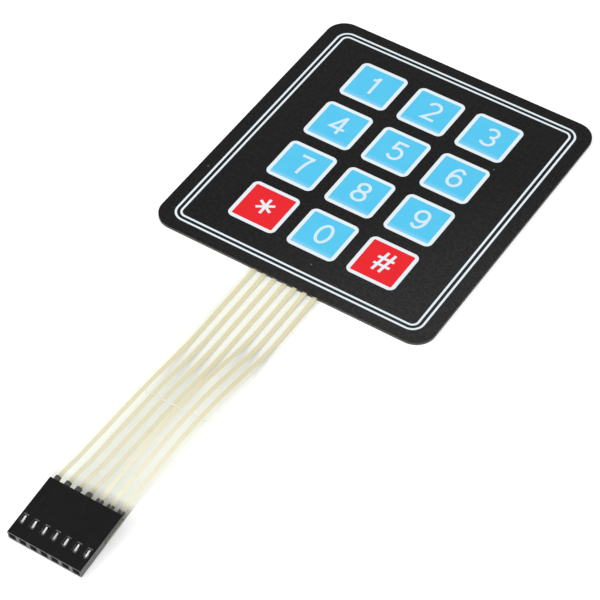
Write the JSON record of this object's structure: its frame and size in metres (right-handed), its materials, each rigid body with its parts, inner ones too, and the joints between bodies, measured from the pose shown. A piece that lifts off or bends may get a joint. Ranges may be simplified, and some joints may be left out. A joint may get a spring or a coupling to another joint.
{
  "type": "membrane keypad",
  "caption": "Flat black membrane keypad with blue digit keys and red star and hash keys, a clear two-film flex tail and a one-row socket connector.",
  "frame": {"origin": "middle of the pad's rear face, on the surface that it lies on", "axes": "+Z out of the pad's front, +Y up the pad as its digits read, the tail runs to -Y"},
  "size_m": [0.069, 0.1615, 0.0048],
  "materials": {
    "overlay_black": "fine grained, matt",
    "print_white": "matt",
    "print_blue": "matt",
    "print_red": "matt",
    "adhesive": "tacky film",
    "clear_film": "clear, glossy",
    "conductor_ink": "printed, satin",
    "spacer_film": "matt",
    "liner_paper": "smooth release paper",
    "housing_black": "moulded, satin",
    "contact_tin": "tin plated"
  },
  "bodies": {
    "root": {"graphic_overlay": "overlay_black", "white_print": "print_white", "blue_print": "print_blue", "red_print": "print_red", "overlay_adhesive": "adhesive", "upper_circuit_film": "clear_film", "column_conductors": "conductor_ink", "spacer": "spacer_film", "row_conductors": "conductor_ink", "lower_circuit_film": "clear_film", "rear_adhesive": "adhesive", "release_liner": "liner_paper", "connector_housing": "housing_black", "contact_1": "contact_tin", "contact_2": "contact_tin", "contact_3": "contact_tin", "contact_4": "contact_tin", "contact_5": "contact_tin", "contact_6": "contact_tin", "contact_7": "contact_tin"}
  },
  "joints": []
}
